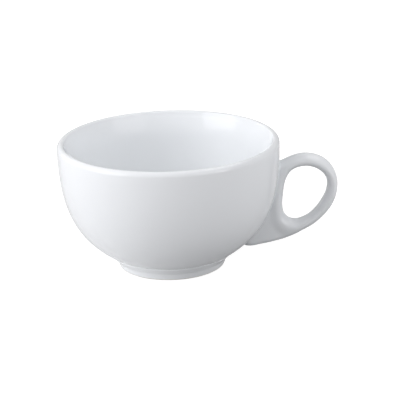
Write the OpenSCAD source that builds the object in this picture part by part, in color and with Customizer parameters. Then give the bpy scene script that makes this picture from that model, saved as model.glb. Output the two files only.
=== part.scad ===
// Low porcelain cup with a wide round bowl, a turned-in foot ring and an ear handle.
// Origin: centre of the foot on the table. +Z up, handle towards +X. Millimetres.

/* [Bowl] */
// Diameter over the rim
rim_d = 100; // [84:0.5:116]
// Height of the whole cup
cup_h = 58.6; // [50:0.2:68]
// Thickness of the wall below its taper
wall_t = 5.4; // [4.6:0.1:6]
// Thickness of the floor over the foot ring
floor_t = 5.6; // [4.8:0.1:6.4]
// Diameter of the bowl where it sits on the foot ring
seat_d = 58.4; // [54:0.2:62]
// Slope of the wall where it leaves the foot, in degrees
seat_slope = 34.6; // [29:0.2:40]
// Length over which the lower wall keeps that slope
low_pull = 15.4; // [12:0.2:20]
// Length over which the upper wall stays upright
top_pull = 30.3; // [25:0.1:34]
// Radius of the flat of the inner floor
well_r = 15; // [8:0.5:20]
// Rise of the underside inside the foot ring
dome_h = 0.8; // [0.4:0.1:1.4]

/* [Lip] */
// Thickness of the wall at the lip
lip_t = 3; // [2.4:0.1:3.6]
// Height over which the inside of the wall tapers to the lip
taper_h = 13; // [10:0.5:16]
// Width of the outer half of the lip
lip_w = 2; // [1.4:0.1:2.2]
// Height of the outer half of the lip
lip_h = 2.4; // [1.6:0.1:3.2]
// Height of the inner half of the lip
lip_in_h = 1; // [0.6:0.1:2.4]

/* [Foot ring] */
// Height of the foot ring
foot_h = 6.9; // [6.4:0.1:9]
// How far the ring's neck stands in from the edge of the bowl's seat
neck_in = 1; // [0.8:0.1:2]
// Width of the ring at its neck
neck_w = 7.8; // [6.6:0.1:9]
// How far the outside of the ring draws in from its neck to the table
foot_in = 4.3; // [3:0.1:4.8]
// Height of the straighter band at the foot
band_h = 3.3; // [2.4:0.1:4]
// How far the top of that band stands out over the foot
band_out = 1.4; // [0.8:0.1:2]
// Radius of the bend over the band
band_bend = 4; // [2:0.5:6]
// Width of the foot at the table
toe_w = 2.8; // [2.2:0.1:4]
// Radius of the cove under the bowl
cove_r = 0.5; // [0.4:0.1:1.2]
// Height of the edge between the cove and the bowl
edge_h = 0.2; // [0.1:0.05:0.6]
// Radius of the foot's rounded edges
toe_r = 0.7; // [0.4:0.1:0.9]

/* [Handle] */
// Height of the finger hole
finger_h = 25; // [20:0.5:28]
// Distance from the bowl's widest wall to the middle of the finger hole
finger_out = 11.8; // [11:0.1:14]
// Height of the middle of the finger hole over the table
finger_z = 31; // [27:0.5:34]
// Width of the handle's arm, across the cup
arm_w = 8.5; // [7:0.1:10]
// Thickness of the arm where it is slimmest
arm_t = 5; // [4:0.1:6]
// Extra thickness of the arm below the finger hole
arm_swell = 2.6; // [1.5:0.1:3.5]
// Thickness of the web between the arm and the bowl
web_t = 6.3; // [5:0.1:6.8]

/* [Slip joints] */
// Thickness of the slip that holds the handle and the foot
slip_t = 0.3; // [0.2:0.05:0.5]
// How far the slip squeezes out round the handle
slip_bead = 0.5; // [0.3:0.1:0.8]
// How far the slip under the bowl stays back from the foot's edges
slip_back = 0.4; // [0.2:0.05:0.6]

/* [Hidden] */
$fn = 180;
glaze = [0.95, 0.96, 0.97];
clay = [0.86, 0.84, 0.80];

rim_r = rim_d / 2;
seat_r = seat_d / 2;
neck_r = seat_r - neck_in;
hollow_r = neck_r - neck_w;
foot_r = neck_r - foot_in;
seat_z = foot_h + slip_t;
lip_z = cup_h - lip_h;
floor_z = seat_z + floor_t;
curve_steps = 36;
round_steps = 6;

// Angle that the cove turns through
cove_turn = 70;
cove_z = foot_h - edge_h - cove_r * sin(cove_turn);
foot_top_r = neck_r + cove_r * (1 - cos(cove_turn));

// Stations round the finger hole: direction in degrees, then the distances of the hole's edge
// and of the handle's outer edge from the middle of the hole, as shares of the hole's height.
// Between 135 and 210 degrees the outer edge lies in the bowl's wall and is cut away there.
loop_shares = [
    [0, 0.390, 0.587], [30, 0.452, 0.646], [60, 0.474, 0.702], [90, 0.486, 0.722],
    [120, 0.486, 0.728], [140, 0.446, 0.790], [160, 0.410, 0.780], [180, 0.405, 0.720],
    [196, 0.436, 0.960], [210, 0.488, 1.360], [216, 0.516, 1.500], [222, 0.544, 1.485],
    [230, 0.571, 1.269], [240, 0.583, 1.065], [255, 0.550, 0.856], [270, 0.489, 0.717],
    [300, 0.389, 0.594], [330, 0.356, 0.565]
];
station_steps = 60;
side_steps = 12;
// Distance over which the arm's width falls to the web's, as a share of the arm's thickness
fall_share = 0.7;
// Direction in which the arm swells most, and how far round the swelling reaches, in degrees
swell_dir = 242;
swell_reach = 38;

function bezier(a, b, c, d, u) =
    pow(1 - u, 3) * a + 3 * pow(1 - u, 2) * u * b + 3 * (1 - u) * u * u * c + pow(u, 3) * d;
function unit(v) = v / norm(v);

// Corner b between a and c, rounded with radius r
function rounded(a, b, c, r) =
    let (p = unit(a - b), q = unit(c - b), half = acos(p * q) / 2,
         start = b + p * r / tan(half), end = b + q * r / tan(half),
         mid = b + unit(p + q) * r / sin(half))
    [for (i = [0:round_steps])
        let (w = i / round_steps, v = (start - mid) * (1 - w) + (end - mid) * w) mid + unit(v) * r];

// Outside of the wall, from the foot to the lip, and its outward normal
wall_a = [seat_r, seat_z];
wall_b = wall_a + low_pull * [cos(seat_slope), sin(seat_slope)];
wall_d = [rim_r, lip_z];
wall_c = wall_d - [0, top_pull];
function wall(u) = bezier(wall_a, wall_b, wall_c, wall_d, u);
function wall_along(u) =
    unit(pow(1 - u, 2) * (wall_b - wall_a) + 2 * (1 - u) * u * (wall_c - wall_b)
         + u * u * (wall_d - wall_c));
function wall_out(u) = let (s = wall_along(u)) [s[1], -s[0]];
function taper(z) = (wall_t - lip_t) * (1 - sin(90 * min(1, max(0, cup_h - z) / taper_h)));
function wall_thick(u) = floor_t + (wall_t - floor_t) * min(1, 2 * u) - taper(wall(u)[1]);
function inside(u) = wall(u) - wall_thick(u) * wall_out(u);

// Where the inner floor's curve meets the inside of the wall, as a share of the wall's curve
well_share = 0.3;
well_end = inside(well_share);
well_along = wall_along(well_share);
well_corner = [well_end[0] - (well_end[1] - floor_z) * well_along[0] / well_along[1], floor_z];

wall_pts = [for (i = [0:curve_steps]) wall(i / curve_steps)];
lip_pts = [for (i = [1:round_steps]) let (a = 90 * i / round_steps)
    [rim_r - lip_w + lip_w * cos(a), lip_z + lip_h * sin(a)]];
lip_in_pts = [for (i = [1:round_steps]) let (a = 90 * i / round_steps)
    [rim_r - lip_w - (lip_t - lip_w) * sin(a), cup_h - lip_in_h + lip_in_h * cos(a)]];
inside_pts = [for (i = [curve_steps:-1:0]) let (u = i / curve_steps, p = inside(u))
    if (u > well_share && p[1] < cup_h - lip_in_h - lip_w / 2) p];
well_pts = [for (i = [0:round_steps * 2]) let (u = i / round_steps / 2)
    pow(1 - u, 2) * well_end + 2 * (1 - u) * u * well_corner + u * u * [well_r, floor_z]];
dome_pts = [for (i = [0:round_steps]) let (w = i / round_steps)
    [hollow_r * w, seat_z + dome_h * (1 - w * w)]];

module bowl() {
    color(glaze) rotate_extrude()
        polygon(concat(dome_pts, wall_pts, lip_pts, lip_in_pts, inside_pts, well_pts,
                       [[0, floor_z]]));
}

cove_pts = [for (i = [0:round_steps]) let (a = cove_turn * i / round_steps)
    [neck_r + cove_r - cove_r * cos(a), cove_z + cove_r * sin(a)]];
toe_out = [foot_r, 0];
toe_in = [foot_r - toe_w, 0];
band_top = [foot_r + band_out, band_h];

module foot_ring() {
    color(glaze) rotate_extrude()
        polygon(concat(rounded([neck_r, cove_z], band_top, toe_out, band_bend),
                       rounded(band_top, toe_out, toe_in, toe_r),
                       rounded(toe_out, toe_in, [hollow_r, foot_h], toe_r),
                       [[hollow_r, foot_h], [foot_top_r, foot_h]],
                       [for (i = [round_steps:-1:0]) cove_pts[i]]));
}

module foot_slip() {
    color(clay) translate([0, 0, foot_h]) difference() {
        cylinder(h = slip_t, r = foot_top_r - slip_back);
        translate([0, 0, -slip_t]) cylinder(h = 3 * slip_t, r = hollow_r + slip_back);
    }
}

// The handle is swept round its finger hole. Each station is a section from the hole's edge
// to the outer edge: a rounded arm beside the hole, and a thinner web where the section is longer.
stations = len(loop_shares);
function station(i) =
    let (turn = floor(i / stations), row = loop_shares[i - turn * stations])
    [row[0] + 360 * turn, row[1], row[2]];
function slope(i, k) =
    (station(i + 1)[k] - station(i - 1)[k]) / (station(i + 1)[0] - station(i - 1)[0]);
function last_before(a, i = 0) = station(i + 1)[0] > a ? i : last_before(a, i + 1);
// Smooth curve through the stations' shares, column k, at direction a
function share_at(a, k) =
    let (i = last_before(a), p = station(i), q = station(i + 1), gap = q[0] - p[0],
         u = (a - p[0]) / gap)
    (1 + 2 * u) * pow(1 - u, 2) * p[k] + u * pow(1 - u, 2) * gap * slope(i, k)
    + u * u * (3 - 2 * u) * q[k] + u * u * (u - 1) * gap * slope(i + 1, k);

function arm_at(a) = arm_t + arm_swell * exp(-pow((a - swell_dir) / swell_reach, 2));
// Share of the full width at distance s from an edge that is rounded over the distance r
function round_share(s, r) = let (w = max(0, 1 - s / r)) sqrt(max(0, 1 - w * w));
// Half width of the handle at distance s along a section of length len: the rounded arm,
// which falls away softly to the web
function half_width(s, len, arm) =
    let (half = min(len, arm) / 2, away = max(0, s - half) / (arm * fall_share),
         fall = (1 + cos(180 * min(1, away))) / 2)
    (web_t + (arm_w - web_t) * fall) / 2
    * round_share(s, half) * round_share(len - s, min(half, web_t / 2));

finger_x = rim_r + finger_out;
// One closed section at direction a, grown outwards by g
function section(a, g) =
    let (near = finger_h * share_at(a, 1), len = finger_h * share_at(a, 2) - near, arm = arm_at(a),
         skew = max(1, ln(len / arm) / ln(2)),
         side = [for (k = [0:side_steps])
             let (s = len * pow((1 - cos(180 * k / side_steps)) / 2, skew), w = s / len)
             [near + s + g * (2 * w - 1), half_width(s, len, arm) + g * sin(180 * k / side_steps)]])
    [for (k = [0:2 * side_steps - 1])
        let (p = k <= side_steps ? side[k] : side[2 * side_steps - k],
             y = k <= side_steps ? p[1] : -p[1])
        [finger_x + p[0] * cos(a), y, finger_z + p[0] * sin(a)]];

module loop(g) {
    ring = 2 * side_steps;
    points = [for (i = [0:station_steps - 1]) each section(360 * i / station_steps, g)];
    faces = [for (i = [0:station_steps - 1], k = [0:ring - 1])
        let (j = (i + 1) % station_steps, l = (k + 1) % ring,
             p = i * ring + k, q = i * ring + l, r = j * ring + l, s = j * ring + k)
        each [[p, q, r], [p, r, s]]];
    polyhedron(points = points, faces = faces, convexity = 6);
}

// Outside of the wall moved out by the slip's thickness
shell_pts = [for (i = [0:curve_steps]) let (u = i / curve_steps) wall(u) + slip_t * wall_out(u)];

module handle() {
    color(glaze) difference() {
        loop(0);
        rotate_extrude() polygon(concat([[0, shell_pts[0][1]]], shell_pts, [[0, lip_z]]));
    }
}

module handle_slip() {
    color(clay) intersection() {
        loop(slip_bead);
        rotate_extrude() polygon(concat(wall_pts, [for (i = [curve_steps:-1:0]) shell_pts[i]]));
    }
}

bowl();
foot_ring();
foot_slip();
handle();
handle_slip();
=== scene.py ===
import math

import bpy
import numpy as np
from mathutils import Matrix, Vector
from mathutils.bvhtree import BVHTree


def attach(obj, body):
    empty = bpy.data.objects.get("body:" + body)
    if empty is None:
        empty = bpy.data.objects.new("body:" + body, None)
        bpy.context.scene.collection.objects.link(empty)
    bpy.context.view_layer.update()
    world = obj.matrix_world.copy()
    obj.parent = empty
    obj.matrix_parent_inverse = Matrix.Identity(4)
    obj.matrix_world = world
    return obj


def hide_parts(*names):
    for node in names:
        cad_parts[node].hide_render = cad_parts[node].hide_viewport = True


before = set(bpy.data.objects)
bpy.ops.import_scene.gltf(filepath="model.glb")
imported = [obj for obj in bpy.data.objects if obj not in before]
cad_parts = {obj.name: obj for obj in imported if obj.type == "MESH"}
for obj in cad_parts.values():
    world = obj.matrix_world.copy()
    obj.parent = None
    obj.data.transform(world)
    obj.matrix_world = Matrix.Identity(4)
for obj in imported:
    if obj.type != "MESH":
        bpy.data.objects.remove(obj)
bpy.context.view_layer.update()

mm = 0.001  # the pieces' settings are in millimetres, and the lamps' in metres
sharpAngle = math.radians(38)  # faces that meet at more than this show an edge

# The camera comes first, at the photograph's viewing angle
cameraPlace = {
    "spot": (-37.48, -715.13, 271.33),
    "turn": -4.083,   # degrees round the upright axis, minus to the right
    "tilt": 71.33,    # degrees up from straight down
    "roll": -1.66,
    "lens": 149.61,
    "sensor": 36.0,
    "near": 0.02,     # metres
    "far": 20,
}


def setCamera(place):
    data = bpy.data.cameras.new("studioCamera")
    data.lens = place["lens"]
    data.sensor_width = place["sensor"]
    data.clip_start = place["near"]
    data.clip_end = place["far"]
    camera = bpy.data.objects.new("studioCamera", data)
    bpy.context.scene.collection.objects.link(camera)
    turned = (Matrix.Rotation(math.radians(place["turn"]), 4, "Z")
              @ Matrix.Rotation(math.radians(place["tilt"]), 4, "X")
              @ Matrix.Rotation(math.radians(place["roll"]), 4, "Z"))
    camera.matrix_world = Matrix.Translation([v * mm for v in place["spot"]]) @ turned
    bpy.context.scene.camera = camera


setCamera(cameraPlace)
print("camera set")


# Small helpers for shader and geometry trees
def addNode(tree, kind, settings=None, inputs=None):
    node = tree.nodes.new(kind)
    for name, value in (settings or {}).items():
        setattr(node, name, value)
    for name, value in (inputs or {}).items():
        node.inputs[name].default_value = value
    return node


def join(tree, source, target):
    tree.links.new(source, target)


def calc(tree, operation, first, second):
    node = addNode(tree, "ShaderNodeMath", {"operation": operation})
    for slot, value in enumerate((first, second)):
        if isinstance(value, (int, float)):
            node.inputs[slot].default_value = value
        else:
            join(tree, value, node.inputs[slot])
    return node.outputs[0]


def fade(tree, value, low, high, toLow=0.0, toHigh=1.0):
    node = addNode(tree, "ShaderNodeMapRange", {"interpolation_type": "SMOOTHSTEP"},
                   {"From Min": low, "From Max": high, "To Min": toLow, "To Max": toHigh})
    join(tree, value, node.inputs["Value"])
    return node.outputs["Result"]


def blendColor(tree, share, first, second):
    node = addNode(tree, "ShaderNodeMix", {"data_type": "RGBA"})
    colors = [s for s in node.inputs if s.type == "RGBA"]
    join(tree, share, node.inputs[0])
    for socket, value in zip(colors, (first, second)):
        if isinstance(value, tuple):
            socket.default_value = value
        else:
            join(tree, value, socket)
    return [s for s in node.outputs if s.type == "RGBA"][0]


def newGroup(name, inputs, outputs):
    group = bpy.data.node_groups.new(name, "ShaderNodeTree")
    for label, kind, value in inputs:
        socket = group.interface.new_socket(label, in_out="INPUT", socket_type=kind)
        socket.default_value = value
    for label, kind in outputs:
        group.interface.new_socket(label, in_out="OUTPUT", socket_type=kind)
    return group, addNode(group, "NodeGroupInput"), addNode(group, "NodeGroupOutput")


glazeLook = {
    "white": (0.818, 0.84, 0.856, 1.0),
    "foot": (0.885, 0.907, 0.924, 1.0),    # painted lighter than the bowl's white: painted light for the light the foot catches from the table
    "thin": (0.828, 0.846, 0.86, 1.0),     # glaze drawn thin over an edge
    "thinShare": 0.6,
    "pooled": (0.79, 0.825, 0.845, 1.0),   # glaze gathered in a hollow
    "pooledShare": 0.7,
    "gloss": 0.07,
    "index": 1.52,
}

# The glaze's own marks: noise as (scale, detail), depths in metres
glazeMarks = {
    "wave": (28, 1), "waveDepth": 0.00011,
    "peel": (330, 2), "peelDepth": 0.0000075,
    "drift": (17, 2), "driftRange": (0.3, 0.7), "driftShade": 0.988,
    "haze": (75, 3), "hazeRange": (0.35, 0.75), "hazeGloss": (0.9, 1.25),
    "pitScale": 190, "pitChance": 0.985,   # of the cells, those above this hold a pinhole
    "pitEdge": (0.02, 0.055), "pitShade": 0.16, "pitDepth": 0.00005,
    "ragged": (160, 3),
}


# Slow waves, orange peel and a rare pinhole in a fired glaze, with a faint drift of its white
def makeGlazeSkin():
    marks = glazeMarks
    group, given, made = newGroup("glazeSkin", [
        ("White", "NodeSocketColor", (0.8, 0.8, 0.8, 1)),
        ("Gloss", "NodeSocketFloat", glazeLook["gloss"]),
        ("Peel", "NodeSocketFloat", 1.0),
        ("Pits", "NodeSocketFloat", 1.0),
    ], [("Color", "NodeSocketColor"), ("Roughness", "NodeSocketFloat"),
        ("Normal", "NodeSocketVector")])
    place = addNode(group, "ShaderNodeTexCoord").outputs["Object"]

    def noise(scale, detail):
        node = addNode(group, "ShaderNodeTexNoise", None, {"Scale": scale, "Detail": detail})
        join(group, place, node.inputs["Vector"])
        return node.outputs["Fac"]

    slow = noise(*marks["wave"])
    peel = noise(*marks["peel"])
    tone = noise(*marks["drift"])
    pit = addNode(group, "ShaderNodeTexVoronoi", None, {"Scale": marks["pitScale"]})
    join(group, place, pit.inputs["Vector"])
    pick = addNode(group, "ShaderNodeSeparateColor")
    join(group, pit.outputs["Color"], pick.inputs["Color"])
    chosen = calc(group, "GREATER_THAN", pick.outputs["Red"], marks["pitChance"])
    hole = calc(group, "MULTIPLY", fade(group, pit.outputs["Distance"], *marks["pitEdge"], 1, 0),
                chosen)
    hole = calc(group, "MULTIPLY", hole, given.outputs["Pits"])
    shade = fade(group, tone, *marks["driftRange"], marks["driftShade"], 1.0)
    shade = calc(group, "SUBTRACT", shade, calc(group, "MULTIPLY", hole, marks["pitShade"]))
    color = addNode(group, "ShaderNodeVectorMath", {"operation": "SCALE"})
    join(group, given.outputs["White"], color.inputs["Vector"])
    join(group, shade, color.inputs["Scale"])
    join(group, color.outputs["Vector"], made.inputs["Color"])
    haze = fade(group, noise(*marks["haze"]), *marks["hazeRange"], *marks["hazeGloss"])
    join(group, calc(group, "MULTIPLY", haze, given.outputs["Gloss"]), made.inputs["Roughness"])
    wave = addNode(group, "ShaderNodeBump", None,
                   {"Strength": 1.0, "Distance": marks["waveDepth"]})
    join(group, slow, wave.inputs["Height"])
    fine = addNode(group, "ShaderNodeBump", None, {"Distance": marks["peelDepth"]})
    join(group, given.outputs["Peel"], fine.inputs["Strength"])
    join(group, peel, fine.inputs["Height"])
    join(group, wave.outputs["Normal"], fine.inputs["Normal"])
    dent = addNode(group, "ShaderNodeBump", {"invert": True},
                   {"Strength": 1.0, "Distance": marks["pitDepth"]})
    join(group, hole, dent.inputs["Height"])
    join(group, fine.outputs["Normal"], dent.inputs["Normal"])
    join(group, dent.outputs["Normal"], made.inputs["Normal"])
    return group


# Rises from 0 to 1 between two heights on the piece, made ragged by a little noise
def makeHeightBand():
    group, given, made = newGroup("heightBand", [
        ("Low", "NodeSocketFloat", 0.0),
        ("High", "NodeSocketFloat", 0.001),
        ("Ragged", "NodeSocketFloat", 0.0002),
    ], [("Share", "NodeSocketFloat")])
    place = addNode(group, "ShaderNodeTexCoord").outputs["Object"]
    split = addNode(group, "ShaderNodeSeparateXYZ")
    join(group, place, split.inputs[0])
    scale, detail = glazeMarks["ragged"]
    stir = addNode(group, "ShaderNodeTexNoise", None, {"Scale": scale, "Detail": detail})
    join(group, place, stir.inputs["Vector"])
    shift = calc(group, "MULTIPLY", calc(group, "SUBTRACT", stir.outputs["Fac"], 0.5),
                 given.outputs["Ragged"])
    height = calc(group, "ADD", split.outputs["Z"], shift)
    band = addNode(group, "ShaderNodeMapRange", {"interpolation_type": "SMOOTHSTEP"})
    join(group, height, band.inputs["Value"])
    join(group, given.outputs["Low"], band.inputs["From Min"])
    join(group, given.outputs["High"], band.inputs["From Max"])
    join(group, band.outputs["Result"], made.inputs["Share"])
    return group


glazeSkin = makeGlazeSkin()
heightBand = makeHeightBand()


def useGroup(tree, group, values):
    node = addNode(tree, "ShaderNodeGroup", {"node_tree": group})
    for name, value in values.items():
        node.inputs[name].default_value = value
    return node


def startMaterial(name):
    material = bpy.data.materials.new(name)
    material.use_nodes = True
    shader = material.node_tree.nodes["Principled BSDF"]
    shader.inputs["IOR"].default_value = glazeLook["index"]
    return material, material.node_tree, shader


# Porcelain under a gloss glaze, which draws thin over an edge and gathers in a hollow.
# A band is its low height, its high height and how ragged it is, in millimetres
def makeGlaze(name, edge=None, pool=None, peel=1.0, pits=1.0):
    material, tree, shader = startMaterial(name)
    skin = useGroup(tree, glazeSkin, {"White": glazeLook["white"], "Gloss": glazeLook["gloss"],
                                      "Peel": peel, "Pits": pits})
    color = skin.outputs["Color"]
    for band, tint in ((edge, "thin"), (pool, "pooled")):
        if not band:
            continue
        share = useGroup(tree, heightBand, {"Low": band[0] * mm, "High": band[1] * mm,
                                            "Ragged": band[2] * mm}).outputs["Share"]
        share = calc(tree, "MULTIPLY", share, glazeLook[tint + "Share"])
        color = blendColor(tree, share, color, glazeLook[tint])
    join(tree, color, shader.inputs["Base Color"])
    join(tree, skin.outputs["Roughness"], shader.inputs["Roughness"])
    join(tree, skin.outputs["Normal"], shader.inputs["Normal"])
    return material


# Where the glaze is wiped off the foot: height and raggedness in millimetres, depth in metres
bareClay = {
    "wiped": (0.35, 0.75), "ragged": 0.25,
    "color": (0.80, 0.775, 0.73, 1.0),
    "rubbed": (0.52, 0.51, 0.49, 1.0),     # grey from standing on tables
    "rubScale": 320, "rubTwist": 1.5, "rubRange": (0.48, 0.72), "rubShare": 0.55,
    "grainScale": 2600, "grainRange": (0.3, 0.7), "rough": (0.5, 0.75),
    "toothStrength": 0.6, "toothDepth": 0.00003,
    "noiseDetail": 4, "pits": 1.5,
}


# The same glaze, wiped off the band that stands on the table, where the dry clay is rubbed grey
def makeFootGlaze(name):
    material, tree, shader = startMaterial(name)
    # the foot's white is painted lighter than the bowl's, as painted light for the table light it
    # catches
    skin = useGroup(tree, glazeSkin, {"White": glazeLook["foot"], "Gloss": glazeLook["gloss"],
                                      "Peel": 1.0, "Pits": bareClay["pits"]})
    low, high = bareClay["wiped"]
    share = useGroup(tree, heightBand, {"Low": low * mm, "High": high * mm,
                                        "Ragged": bareClay["ragged"] * mm}).outputs["Share"]
    place = addNode(tree, "ShaderNodeTexCoord").outputs["Object"]
    detail = bareClay["noiseDetail"]
    grain = addNode(tree, "ShaderNodeTexNoise", None,
                    {"Scale": bareClay["grainScale"], "Detail": detail})
    rub = addNode(tree, "ShaderNodeTexNoise", None,
                  {"Scale": bareClay["rubScale"], "Detail": detail,
                   "Distortion": bareClay["rubTwist"]})
    for node in (grain, rub):
        join(tree, place, node.inputs["Vector"])
    worn = fade(tree, rub.outputs["Fac"], *bareClay["rubRange"], 0, bareClay["rubShare"])
    clay = blendColor(tree, worn, bareClay["color"], bareClay["rubbed"])
    join(tree, blendColor(tree, share, clay, skin.outputs["Color"]), shader.inputs["Base Color"])
    dry = fade(tree, grain.outputs["Fac"], *bareClay["grainRange"], *bareClay["rough"])
    mixRough = addNode(tree, "ShaderNodeMix", {"data_type": "FLOAT"})
    join(tree, share, mixRough.inputs[0])
    join(tree, dry, mixRough.inputs[2])
    join(tree, skin.outputs["Roughness"], mixRough.inputs[3])
    join(tree, mixRough.outputs[0], shader.inputs["Roughness"])
    bare = calc(tree, "SUBTRACT", 1.0, share)
    tooth = addNode(tree, "ShaderNodeBump", None,
                    {"Strength": bareClay["toothStrength"], "Distance": bareClay["toothDepth"]})
    join(tree, calc(tree, "MULTIPLY", grain.outputs["Fac"], bare), tooth.inputs["Height"])
    join(tree, skin.outputs["Normal"], tooth.inputs["Normal"])
    join(tree, tooth.outputs["Normal"], shader.inputs["Normal"])
    return material


bowlGlaze = makeGlaze("bowlGlaze", edge=(57.7, 58.6, 0.5))
handleGlaze = makeGlaze("handleGlaze", peel=0.8)
beadGlaze = makeGlaze("beadGlaze", pool=(0, 0.001, 0), peel=0.5, pits=0.0)  # pooled all over
footGlaze = makeFootGlaze("footGlaze")
print("finishes made")


wheelSettings = {
    "segments": 320,
    "closeGap": 0.0000005,   # metres, joins the seam and the poles
}


# A Geometry Nodes tree that turns the object's points, taken in order, once round the upright axis
def makeWheelTree():
    tree = bpy.data.node_groups.new("turnOnWheel", "GeometryNodeTree")
    tree.interface.new_socket("Geometry", in_out="INPUT", socket_type="NodeSocketGeometry")
    turns = tree.interface.new_socket("Segments", in_out="INPUT", socket_type="NodeSocketInt")
    turns.default_value = wheelSettings["segments"]
    glaze = tree.interface.new_socket("Glaze", in_out="INPUT", socket_type="NodeSocketMaterial")
    tree.interface.new_socket("Geometry", in_out="OUTPUT", socket_type="NodeSocketGeometry")
    given = addNode(tree, "NodeGroupInput")
    made = addNode(tree, "NodeGroupOutput")

    def whole(operation, first, second):
        node = addNode(tree, "FunctionNodeIntegerMath", {"operation": operation})
        for slot, value in enumerate((first, second)):
            if isinstance(value, int):
                node.inputs[slot].default_value = value
            else:
                join(tree, value, node.inputs[slot])
        return node.outputs[0]

    size = addNode(tree, "GeometryNodeAttributeDomainSize", {"component": "MESH"})
    join(tree, given.outputs["Geometry"], size.inputs["Geometry"])
    count = size.outputs["Point Count"]
    grid = addNode(tree, "GeometryNodeMeshGrid")
    join(tree, whole("ADD", given.outputs["Segments"], 1), grid.inputs["Vertices X"])
    join(tree, count, grid.inputs["Vertices Y"])
    index = addNode(tree, "GeometryNodeInputIndex").outputs["Index"]
    row = whole("MODULO", index, count)
    column = whole("DIVIDE_FLOOR", index, count)
    take = addNode(tree, "GeometryNodeSampleIndex",
                   {"data_type": "FLOAT_VECTOR", "domain": "POINT"})
    join(tree, given.outputs["Geometry"], take.inputs["Geometry"])
    join(tree, addNode(tree, "GeometryNodeInputPosition").outputs[0], take.inputs["Value"])
    join(tree, row, take.inputs["Index"])
    part = calc(tree, "DIVIDE", column, given.outputs["Segments"])
    angle = calc(tree, "MULTIPLY", part, math.tau)
    spin = addNode(tree, "ShaderNodeVectorRotate", {"rotation_type": "Z_AXIS"})
    join(tree, take.outputs["Value"], spin.inputs["Vector"])
    join(tree, angle, spin.inputs["Angle"])
    move = addNode(tree, "GeometryNodeSetPosition")
    join(tree, grid.outputs["Mesh"], move.inputs["Geometry"])
    join(tree, spin.outputs["Vector"], move.inputs["Position"])
    close = addNode(tree, "GeometryNodeMergeByDistance", None,
                    {"Distance": wheelSettings["closeGap"]})
    join(tree, move.outputs["Geometry"], close.inputs["Geometry"])
    smooth = addNode(tree, "GeometryNodeSetShadeSmooth")
    join(tree, close.outputs["Geometry"], smooth.inputs["Geometry"])
    real = addNode(tree, "GeometryNodeRealizeInstances")
    join(tree, smooth.outputs["Geometry"], real.inputs["Geometry"])
    coat = addNode(tree, "GeometryNodeSetMaterial")
    join(tree, real.outputs["Geometry"], coat.inputs["Geometry"])
    join(tree, given.outputs["Glaze"], coat.inputs["Material"])
    join(tree, coat.outputs["Geometry"], made.inputs["Geometry"])
    return tree, turns.identifier, glaze.identifier


wheelTree, segmentsInput, glazeInput = makeWheelTree()


def addMesh(name, points, faces):
    mesh = bpy.data.meshes.new(name)
    mesh.from_pydata([tuple(p) for p in points], [], [tuple(f) for f in faces])
    mesh.update()
    piece = bpy.data.objects.new(name, mesh)
    bpy.context.scene.collection.objects.link(piece)
    return piece


# What the piece's modifiers give becomes its own mesh
def settle(piece):
    bpy.context.view_layer.update()
    shaped = piece.evaluated_get(bpy.context.evaluated_depsgraph_get())
    mesh = bpy.data.meshes.new_from_object(shaped)
    piece.modifiers.clear()
    piece.data = mesh
    return mesh


def smoothFaces(mesh):
    mesh.polygons.foreach_set("use_smooth", [True] * len(mesh.polygons))
    mesh.set_sharp_from_angle(angle=sharpAngle)


def finishPiece(piece, node):
    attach(piece, "root")
    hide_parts(node)


# The profile is points (radius, height) in millimetres, with the clay on the left of its way
def turnPiece(name, profile, material, segments):
    points = [(r * mm, 0.0, z * mm) for r, z in profile]
    piece = addMesh(name, points, [])
    wheel = piece.modifiers.new("wheel", "NODES")
    wheel.node_group = wheelTree
    wheel[segmentsInput] = segments
    wheel[glazeInput] = material
    mesh = settle(piece)
    mesh.name = name
    mesh.set_sharp_from_angle(angle=sharpAngle)
    return piece


bowl = {
    "rimRadius": 50, "height": 58.6, "wall": 5.4, "floor": 5.6, "lip": 3, "taper": 13,
    "seatRadius": 29.2, "seatHeight": 7.2, "seatSlope": 34.6, "seatEdge": 0.45,
    "lowPull": 15.4, "topPull": 30.3,
    "lipWidth": 2, "lipHeight": 2.4, "lipInHeight": 1,
    "wellRadius": 15, "wellShare": 0.3, "dome": 0.8, "hollowRadius": 20.4,
    "edgeAim": 0.05, "wallStart": 0.012,   # shares of the wall's curve
    "lipGap": 0.4,
    "wallSteps": 76, "lipSteps": 12, "edgeSteps": 6, "domeSteps": 12, "wellSteps": 24,
    "flatSteps": 8, "segments": wheelSettings["segments"],
}


def unit(v):
    return v / np.linalg.norm(v, axis=-1, keepdims=True)


# The outside of the wall is one curve from the seat up to the lip, and u runs along it from 0 to 1
def wallBase():
    b = bowl
    lipZ = b["height"] - b["lipHeight"]
    start = np.array([b["seatRadius"], b["seatHeight"]], float)
    slope = math.radians(b["seatSlope"])
    end = np.array([b["rimRadius"], lipZ], float)
    return (start, start + b["lowPull"] * np.array([math.cos(slope), math.sin(slope)]),
            end - [0, b["topPull"]], end)


def wallAt(u):
    u = np.atleast_1d(np.asarray(u, float))[:, None]
    p, q, r, s = wallBase()
    return (1 - u) ** 3 * p + 3 * (1 - u) ** 2 * u * q + 3 * (1 - u) * u ** 2 * r + u ** 3 * s


def wallAlong(u):
    u = np.atleast_1d(np.asarray(u, float))[:, None]
    p, q, r, s = wallBase()
    return unit((1 - u) ** 2 * (q - p) + 2 * (1 - u) * u * (r - q) + u ** 2 * (s - r))


def wallOut(u):
    way = wallAlong(u)
    return np.stack([way[:, 1], -way[:, 0]], axis=1)


# The inside lies one thickness in from the outside, and the wall thins towards its lip
def insideAt(u):
    u = np.atleast_1d(np.asarray(u, float))
    thick = bowl["floor"] + (bowl["wall"] - bowl["floor"]) * np.minimum(1, 2 * u)
    depth = np.clip((bowl["height"] - wallAt(u)[:, 1]) / bowl["taper"], 0, 1)
    thick -= (bowl["wall"] - bowl["lip"]) * (1 - np.sin(math.pi / 2 * depth))
    return wallAt(u) - thick[:, None] * wallOut(u)


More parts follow.
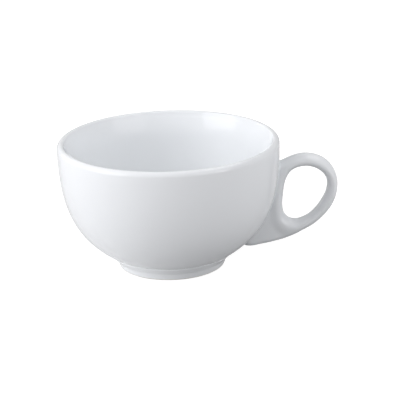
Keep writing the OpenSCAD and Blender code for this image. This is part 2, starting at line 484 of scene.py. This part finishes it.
def roundCorner(before, corner, after, radius, steps):
    before, corner, after = (np.array(p, float) for p in (before, corner, after))
    p, q = unit(before - corner), unit(after - corner)
    half = math.acos(float(p @ q)) / 2
    middle = corner + unit(p + q) * radius / math.sin(half)
    start, end = corner + p * radius / math.tan(half), corner + q * radius / math.tan(half)
    shares = np.linspace(0, 1, steps + 1)[:, None]
    return middle + unit((start - middle) * (1 - shares) + (end - middle) * shares) * radius


def bowlProfile():
    b = bowl
    share = np.linspace(0, 1, b["domeSteps"] + 1)
    seatZ, hollow = b["seatHeight"], b["hollowRadius"]
    dome = np.stack([hollow * share, seatZ + b["dome"] * (1 - share ** 2)], 1)
    edge = roundCorner((hollow, seatZ), (b["seatRadius"], seatZ), wallAt(b["edgeAim"])[0],
                       b["seatEdge"], b["edgeSteps"])
    wall = wallAt(np.linspace(b["wallStart"], 1, b["wallSteps"]))
    turn = np.linspace(0, math.pi / 2, b["lipSteps"] + 1)[1:]
    lipX, lipZ = b["rimRadius"] - b["lipWidth"], b["height"] - b["lipHeight"]
    lip = np.stack([lipX + b["lipWidth"] * np.cos(turn), lipZ + b["lipHeight"] * np.sin(turn)], 1)
    lipIn = np.stack([lipX - (b["lip"] - b["lipWidth"]) * np.sin(turn),
                      b["height"] - b["lipInHeight"] + b["lipInHeight"] * np.cos(turn)], 1)
    inner = insideAt(np.linspace(1, b["wellShare"], b["wallSteps"]))
    inner = inner[inner[:, 1] < b["height"] - b["lipInHeight"] - b["lipGap"]]
    floorZ = seatZ + b["floor"]
    end, way = insideAt(b["wellShare"])[0], wallAlong(b["wellShare"])[0]
    corner = np.array([end[0] - (end[1] - floorZ) * way[0] / way[1], floorZ])
    rest = np.array([b["wellRadius"], floorZ])
    w = np.linspace(0, 1, b["wellSteps"] + 1)[1:, None]
    well = (1 - w) ** 2 * end + 2 * (1 - w) * w * corner + w ** 2 * rest
    flat = np.stack([np.linspace(b["wellRadius"], 0, b["flatSteps"] + 1)[1:],
                     np.full(b["flatSteps"], floorZ)], 1)
    return np.concatenate([dome, edge, wall, lip, lipIn, inner, well, flat])


bowlPiece = turnPiece("bowlBody", bowlProfile(), bowlGlaze, bowl["segments"])
finishPiece(bowlPiece, "bowl")
print("bowl turned:", len(bowlPiece.data.polygons), "faces")

foot = {
    "height": 6.9, "neckRadius": 28.2, "footRadius": 23.9, "toe": 2.8, "toeEdge": 0.7,
    "bandHeight": 3.3, "bandOut": 1.4, "bandBend": 4,
    "cove": 0.5, "coveTurn": 70, "edge": 0.2, "topEdge": 0.08, "hollowRadius": 20.4,
    "slip": 0.3, "slipBack": 0.4, "slipSag": 0.15, "slipSteps": 8,
    "coveSteps": 16, "toeSteps": 10, "bandSteps": 6, "bendSteps": 8, "sideSteps": 5,
    "topSteps": 5, "downSteps": 9, "segments": wheelSettings["segments"],
}


def footProfile():
    f = foot
    turn = np.radians(np.linspace(0, f["coveTurn"], f["coveSteps"] + 1))
    coveZ = f["height"] - f["edge"] - f["cove"] * math.sin(turn[-1])
    cove = np.stack([f["neckRadius"] + f["cove"] * (1 - np.cos(turn)),
                     coveZ + f["cove"] * np.sin(turn)], 1)
    topR = cove[-1][0]
    toeOut, toeIn = (f["footRadius"], 0.0), (f["footRadius"] - f["toe"], 0.0)
    topIn = (f["hollowRadius"], f["height"])
    innerToe = roundCorner(topIn, toeIn, toeOut, f["toeEdge"], f["toeSteps"])
    bandTop = (f["footRadius"] + f["bandOut"], f["bandHeight"])
    outerToe = roundCorner(toeIn, toeOut, bandTop, f["toeEdge"], f["toeSteps"])
    bend = roundCorner(toeOut, bandTop, (f["neckRadius"], coveZ), f["bandBend"], f["bendSteps"])
    band = np.linspace(outerToe[-1], bend[0], f["bandSteps"] + 1)[1:-1]
    side = np.linspace(bend[-1], cove[0], f["sideSteps"] + 1)[1:-1]
    topEdge = roundCorner(cove[-1], (topR, f["height"]), topIn, f["topEdge"], f["topSteps"])
    back = np.linspace(topEdge[-1], topIn, f["topSteps"] + 1)[1:]
    down = np.linspace(topIn, innerToe[0], f["downSteps"] + 1)[1:-1]
    return np.concatenate([innerToe, outerToe, band, bend, side, cove, topEdge, back, down,
                           innerToe[:1]])


footPiece = turnPiece("footRing", footProfile(), footGlaze, foot["segments"])
finishPiece(footPiece, "foot_ring")


# The glazed slip between ring and bowl, hollow-faced and a little back from both edges
def footSlipProfile():
    f = foot
    topR = f["neckRadius"] + f["cove"] * (1 - math.cos(math.radians(f["coveTurn"])))
    outR, inR = topR - f["slipBack"], f["hollowRadius"] + f["slipBack"]
    turn = np.linspace(-1, 1, f["slipSteps"] + 1)
    height = f["height"] + f["slip"] * (turn + 1) / 2
    sag = f["slipSag"] * (1 - turn ** 2)
    outer = np.stack([outR - sag, height], 1)
    inner = np.stack([inR + sag, height], 1)[::-1]
    return np.concatenate([outer, inner, outer[:1]])


slipPiece = turnPiece("footSlip", footSlipProfile(), beadGlaze, foot["segments"])
finishPiece(slipPiece, "foot_slip")
print("foot turned")

handle = {
    "fingerHeight": 25, "fingerX": 61.8, "fingerZ": 31,
    "armWidth": 8.5, "arm": 5, "swell": 2.6, "swellAt": 242, "swellReach": 38,
    "web": 6.3, "fallShare": 0.7, "slip": 0.3,
    "stations": 300, "sideSteps": 40, "cutSteps": 120, "cutSegments": 360,
    # direction in degrees, then the hole's edge and the outer edge as shares of the hole's height
    "loopShares": [
        [0, 0.390, 0.587], [30, 0.452, 0.646], [60, 0.474, 0.702], [90, 0.486, 0.722],
        [120, 0.486, 0.728], [140, 0.446, 0.790], [160, 0.410, 0.780], [180, 0.405, 0.720],
        [196, 0.436, 0.960], [210, 0.488, 1.360], [216, 0.516, 1.500], [222, 0.544, 1.485],
        [230, 0.571, 1.269], [240, 0.583, 1.065], [255, 0.550, 0.856], [270, 0.489, 0.717],
        [300, 0.389, 0.594], [330, 0.356, 0.565],
    ],
}


# Smooth closed curve through the shares, at directions in degrees
def shareAt(direction, column):
    table = np.array(handle["loopShares"], float)
    around = np.concatenate([table[-2:] - [360, 0, 0], table, table[:3] + [360, 0, 0]])
    a, v = around[:, 0], around[:, column]
    slope = np.zeros(len(a))
    slope[1:-1] = (v[2:] - v[:-2]) / (a[2:] - a[:-2])
    i = np.searchsorted(a, direction, side="right") - 1
    gap = a[i + 1] - a[i]
    u = (direction - a[i]) / gap
    return ((1 + 2 * u) * (1 - u) ** 2 * v[i] + u * (1 - u) ** 2 * gap * slope[i]
            + u ** 2 * (3 - 2 * u) * v[i + 1] + u ** 2 * (u - 1) * gap * slope[i + 1])


# Share of the full width at distance s from an edge that is rounded over a distance
def roundShare(s, reach):
    w = np.maximum(0, 1 - s / reach)
    return np.sqrt(np.maximum(0, 1 - w * w))


# Half width of the clay at distance s along a section: the arm falls away softly to the web
def halfWidth(s, length, arm):
    h = handle
    half = np.minimum(length, arm) / 2
    away = np.maximum(0, s - half) / (arm * h["fallShare"])
    fall = (1 + np.cos(np.pi * np.minimum(1, away))) / 2
    return ((h["web"] + (h["armWidth"] - h["web"]) * fall) / 2
            * roundShare(s, half) * roundShare(length - s, np.minimum(half, h["web"] / 2)))


# The uncut handle: stations round the finger hole, each with a closed ring of points
def loopGrid():
    h = handle
    a = np.arange(h["stations"]) * 360 / h["stations"]
    near = h["fingerHeight"] * shareAt(a, 1)
    length = h["fingerHeight"] * shareAt(a, 2) - near
    arm = h["arm"] + h["swell"] * np.exp(-((a - h["swellAt"]) / h["swellReach"]) ** 2)
    skew = np.maximum(1, np.log2(length / arm))
    k = np.arange(h["sideSteps"] + 1) / h["sideSteps"]
    s = length[:, None] * ((1 - np.cos(np.pi * k)) / 2)[None, :] ** skew[:, None]
    width = halfWidth(s, length[:, None], arm[:, None])
    width[:, [0, -1]] = 0
    turn = np.radians(a)[:, None]
    x = h["fingerX"] + (near[:, None] + s) * np.cos(turn)
    z = h["fingerZ"] + (near[:, None] + s) * np.sin(turn)
    front = np.stack([x, -width, z], -1)
    back = np.stack([x, width, z], -1)[:, -2:0:-1]
    return np.concatenate([front, back], 1)


def gridFaces(rows, ring):
    faces = []
    for i in range(rows):
        j = (i + 1) % rows
        for k in range(ring):
            m = (k + 1) % ring
            faces.append((i * ring + k, j * ring + k, j * ring + m, i * ring + m))
    return faces


loop = loopGrid()
rows, ring = loop.shape[:2]
loopPoints = loop.reshape(-1, 3)
loopFaces = gridFaces(rows, ring)
handlePiece = addMesh("handleLoop", loopPoints * mm, loopFaces)

# The bowl's wall, moved out by the slip, cuts the loop
cutU = np.linspace(0, 1, handle["cutSteps"] + 1)
wallLine = wallAt(cutU) + handle["slip"] * wallOut(cutU)
cutterLine = np.concatenate([[[0, wallLine[0][1]]], wallLine, [[0, wallLine[-1][1]]]])
cutter = turnPiece("wallCutter", cutterLine, handleGlaze, handle["cutSegments"])
cut = handlePiece.modifiers.new("cut", "BOOLEAN")
cut.operation = "DIFFERENCE"
cut.solver = "EXACT"
cut.object = cutter
cutMesh = settle(handlePiece)
cutMesh.materials.clear()
cutMesh.materials.append(handleGlaze)
cutMesh.polygons.foreach_set("material_index", [0] * len(cutMesh.polygons))
smoothFaces(cutMesh)
bpy.data.objects.remove(cutter)
finishPiece(handlePiece, "handle")
print("handle cut:", len(cutMesh.polygons), "faces")

# The bead of slip and glaze where the handle meets the wall
bead = {
    "radius": 1.5, "points": 420, "arcSteps": 8, "sunk": 0.015, "under": 0.6,
    "wallSamples": 1500,
    "touch": 0.05,       # nearer than this, a face's own normal is taken
    "probe": 0.4,        # how far to look for the handle's inside
    "slides": 12, "slideShare": 0.7,
    "lineRounds": 6, "middleRounds": 4, "normalRounds": 3,
    "openingLimit": 0.95,
}

fineU = np.linspace(0, 1, bead["wallSamples"])
finePoints, fineOut = wallAt(fineU), wallOut(fineU)


# Distance of points from the outside of the wall, and the wall's normal there
def wallDistance(points):
    radius = np.hypot(points[:, 0], points[:, 1])
    flat = np.stack([radius, points[:, 2]], 1)
    nearest = np.argmin(((flat[:, None, :] - finePoints[None]) ** 2).sum(-1), 1)
    out = fineOut[nearest]
    distance = ((flat - finePoints[nearest]) * out).sum(1)
    normal = np.stack([points[:, 0] / radius * out[:, 0], points[:, 1] / radius * out[:, 0],
                       out[:, 1]], 1)
    return distance, normal


# The line where the uncut handle passes through the wall, as points in order
def crossingLine():
    distance = wallDistance(loopPoints)[0].reshape(rows, ring)
    links = {}
    places = {}

    def crossing(i, k, j, m):
        i, k, j, m = i % rows, k % ring, j % rows, m % ring
        d, e = distance[i, k], distance[j, m]
        if (d > 0) == (e > 0):
            return None
        key = (min(i * ring + k, j * ring + m), max(i * ring + k, j * ring + m))
        share = d / (d - e)
        places[key] = loop[i, k] * (1 - share) + loop[j, m] * share
        return key

    for i in range(rows):
        for k in range(ring):
            found = [crossing(*c) for c in ((i, k, i + 1, k), (i + 1, k, i + 1, k + 1),
                                            (i + 1, k + 1, i, k + 1), (i, k + 1, i, k))]
            found = [c for c in found if c]
            if len(found) == 2:
                links.setdefault(found[0], []).append(found[1])
                links.setdefault(found[1], []).append(found[0])
    start = next(iter(links))
    line, last, here = [start], None, start
    while True:
        onward = [c for c in links[here] if c != last]
        last, here = here, onward[0]
        if here == start:
            break
        line.append(here)
    return np.array([places[c] for c in line])


def evenly(line, count):
    closed = np.concatenate([line, line[:1]])
    walked = np.concatenate([[0], np.cumsum(np.linalg.norm(np.diff(closed, axis=0), axis=1))])
    at = np.linspace(0, walked[-1], count, endpoint=False)
    return np.stack([np.interp(at, walked, closed[:, c]) for c in range(3)], 1)


def rounded(values, times):
    for _ in range(times):
        values = 0.5 * values + 0.25 * (np.roll(values, 1, 0) + np.roll(values, -1, 0))
    return values


loopTree = BVHTree.FromPolygons([tuple(p) for p in loopPoints], loopFaces)


# Distance of points from the handle's surface, minus inside it, and the way out from there
def loopDistance(points):
    distances, normals = [], []
    for p in points:
        near, normal, _, _ = loopTree.find_nearest(Vector(p))
        away = Vector(p) - near
        side = 1 if away.dot(normal) > 0 else -1
        distances.append(side * away.length)
        normals.append(normal if away.length < bead["touch"] else away.normalized() * side)
    return np.array(distances), np.array([tuple(n) for n in normals])


def beadMesh():
    line = rounded(evenly(crossingLine(), bead["points"]), bead["lineRounds"])
    along = unit(np.roll(line, -1, 0) - np.roll(line, 1, 0))
    wallNormal = wallDistance(line)[1]
    across = unit(np.cross(along, wallNormal))
    inward = loopDistance(line + across * bead["probe"])[0] < 0
    across[inward] *= -1
    r = bead["radius"]
    middle = line + r * (wallNormal + across)
    for _ in range(bead["slides"]):  # until each middle is one radius from both surfaces
        dWall, nWall = wallDistance(middle)
        dLoop, nLoop = loopDistance(middle)
        slide = (r - dWall)[:, None] * nWall + (r - dLoop)[:, None] * nLoop
        middle = middle + bead["slideShare"] * slide
        middle -= ((middle - line) * along).sum(1)[:, None] * along
    middle = rounded(middle, bead["middleRounds"])
    dWall, nWall = wallDistance(middle)
    dLoop, nLoop = loopDistance(middle)
    nLoop = unit(rounded(nLoop, bead["normalRounds"]))
    limit = bead["openingLimit"]
    opening = np.arccos(np.clip((nWall * nLoop).sum(1), -limit, limit))[:, None]
    rims = []
    for t in np.linspace(0, 1, bead["arcSteps"] + 1):
        way = (np.sin((1 - t) * opening) * nWall + np.sin(t * opening) * nLoop) / np.sin(opening)
        rims.append(middle - way * (dWall * (1 - t) + dLoop * t)[:, None])
    rims[0] = rims[0] - bead["sunk"] * nWall
    rims[-1] = rims[-1] - bead["sunk"] * nLoop
    under = line - bead["under"] * across
    under = under - wallDistance(under)[0][:, None] * wallNormal
    rims.append(under)
    return np.stack(rims, 1)


beadPoints = beadMesh()
beadRows, beadRing = beadPoints.shape[:2]
beadPiece = addMesh("handleBead", beadPoints.reshape(-1, 3) * mm, gridFaces(beadRows, beadRing))
beadPiece.data.materials.append(beadGlaze)
smoothFaces(beadPiece.data)
finishPiece(beadPiece, "handle_slip")
print("bead laid")

# Table and light, in metres and watts
studio = {
    "white": (1, 1, 1, 1),
    "tableHalf": 3.0,
    "table": (0.4, 0.4, 0.4, 1.0),         # what the table gives back to the cup
    "pool": 0.48,                          # and a soft pool of light beside the cup
    "poolSpot": (-0.065, -0.02, 0.0),
    "poolReach": 0.09,
    "tableMirrored": (0.75, 0.75, 0.75, 1.0),  # what the glaze mirrors of it
    "tableSeen": (0.25, 0.25, 0.25, 1.0),  # what the camera sees: white, with a faint shadow
    "tableSeenGlow": 0.9,
    "ambient": 0.2,                        # the room's own light
    "roomMirrored": 0.65,                  # what the glaze mirrors of the room
    "aim": (0, 0, 0.03),
    "tint": (1.0, 0.99, 1.01),             # the lamps' colour, close to white
    # soft boxes: direction in degrees from +X, height in degrees, distance, size, watts
    "boxes": {
        "keyLow": (180, 12, 0.9, 1.0, 3.3),
        "keyWide": (205, 20, 0.9, 1.0, 1.5),
        "keyHigh": (180, 50, 0.8, 0.6, 2.0),
        "fillRight": (0, 20, 0.9, 0.8, 3.5),
        "fillFrontRight": (315, 25, 0.9, 0.8, 1.4),
        "fillFront": (270, 35, 1.0, 0.8, 2.35),
        "fillBack": (90, 20, 0.9, 0.8, 1.45),
    },
    # the lamps that show in the glaze
    "windows": {
        "keyNear": (202, 18, 0.8, 0.6, 2.2),
    },
    # and small ones that show there without adding light
    "sparks": {
        "sparkFront": (313, 12, 0.9, 0.62, 1.5),
        "sparkLow": (320, 1, 0.9, 0.2, 0.6),
        "sparkTop": (5, 60, 0.9, 0.4, 1.1),
        "sparkBack": (136, 14, 0.9, 0.22, 0.8),
    },
}


# The table has its own look for the cup's light, for its mirror image and for the camera
def makeTable():
    half = studio["tableHalf"]
    corners = [(-half, -half, 0), (half, -half, 0), (half, half, 0), (-half, half, 0)]
    table = addMesh("table", corners, [(0, 1, 2, 3)])
    material = bpy.data.materials.new("tableWhite")
    material.use_nodes = True
    tree = material.node_tree
    tree.nodes.clear()
    light = addNode(tree, "ShaderNodeLightPath")
    far = addNode(tree, "ShaderNodeVectorMath", {"operation": "DISTANCE"})
    join(tree, addNode(tree, "ShaderNodeTexCoord").outputs["Object"], far.inputs[0])
    far.inputs[1].default_value = studio["poolSpot"]
    pool = fade(tree, far.outputs["Value"], 0, studio["poolReach"], studio["pool"], 0)
    gives = addNode(tree, "ShaderNodeEmission", None, {"Color": studio["white"]})
    join(tree, pool, gives.inputs["Strength"])
    glows = addNode(tree, "ShaderNodeEmission", None,
                    {"Color": studio["white"], "Strength": studio["tableSeenGlow"]})
    surfaces = []
    for color, extra in ((studio["table"], gives), (studio["tableMirrored"], None),
                         (studio["tableSeen"], glows)):
        surface = addNode(tree, "ShaderNodeBsdfDiffuse", None, {"Color": color}).outputs[0]
        if extra:
            both = addNode(tree, "ShaderNodeAddShader")
            join(tree, surface, both.inputs[0])
            join(tree, extra.outputs[0], both.inputs[1])
            surface = both.outputs[0]
        surfaces.append(surface)
    shown = surfaces[0]
    for ray, surface in (("Is Glossy Ray", surfaces[1]), ("Is Camera Ray", surfaces[2])):
        pick = addNode(tree, "ShaderNodeMixShader")
        join(tree, light.outputs[ray], pick.inputs[0])
        join(tree, shown, pick.inputs[1])
        join(tree, surface, pick.inputs[2])
        shown = pick.outputs[0]
    join(tree, shown, addNode(tree, "ShaderNodeOutputMaterial").inputs["Surface"])
    table.data.materials.append(material)


# The room is white to the camera, dimmer in the glaze and faint as a light
def makeWorld():
    world = bpy.data.worlds.new("studioRoom")
    world.use_nodes = True
    bpy.context.scene.world = world
    tree = world.node_tree
    back = tree.nodes["Background"]
    back.inputs["Color"].default_value = studio["white"]
    light = addNode(tree, "ShaderNodeLightPath")
    mirrored = fade(tree, light.outputs["Is Glossy Ray"], 0, 1, studio["ambient"],
                    studio["roomMirrored"])
    bright = calc(tree, "MAXIMUM", light.outputs["Is Camera Ray"], mirrored)
    join(tree, bright, back.inputs["Strength"])


def addLamp(name, kind, turn, height, distance, size, power):
    data = bpy.data.lights.new(name, "AREA")
    data.shape = "SQUARE"
    data.size = size
    data.energy = power
    data.color = studio["tint"]
    lamp = bpy.data.objects.new(name, data)
    lamp.visible_glossy = kind != "boxes"
    lamp.visible_diffuse = kind != "sparks"
    bpy.context.scene.collection.objects.link(lamp)
    turn, height = math.radians(turn), math.radians(height)
    away = Vector((math.cos(turn) * math.cos(height), math.sin(turn) * math.cos(height),
                   math.sin(height)))
    lamp.location = Vector(studio["aim"]) + distance * away
    lamp.rotation_euler = (-away).to_track_quat("-Z", "Y").to_euler()


makeTable()
makeWorld()
for lampKind in ("boxes", "windows", "sparks"):
    for lampName, lampPlace in studio[lampKind].items():
        addLamp(lampName, lampKind, *lampPlace)
bpy.context.scene.view_settings.view_transform = "Standard"
print("light set")
